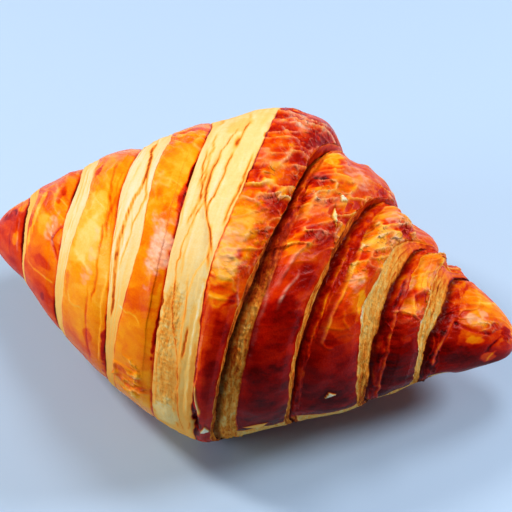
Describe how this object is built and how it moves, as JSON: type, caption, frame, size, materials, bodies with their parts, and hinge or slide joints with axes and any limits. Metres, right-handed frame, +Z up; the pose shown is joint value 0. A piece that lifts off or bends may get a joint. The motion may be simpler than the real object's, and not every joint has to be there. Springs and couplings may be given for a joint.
{
  "type": "croissant",
  "caption": "Plain butter croissant, rolled into lapped wraps that narrow to two blunt raised tips, with a small flat base.",
  "frame": {"origin": "middle of the bounding box, on the table plane under the flat base", "axes": "+X along the roll from tip to tip, +Y to the side that the tips bend to, +Z up"},
  "size_m": [0.158, 0.1058, 0.0749],
  "materials": {
    "baked_crust": "satin"
  },
  "bodies": {
    "root": {"croissant": "baked_crust"}
  },
  "joints": []
}
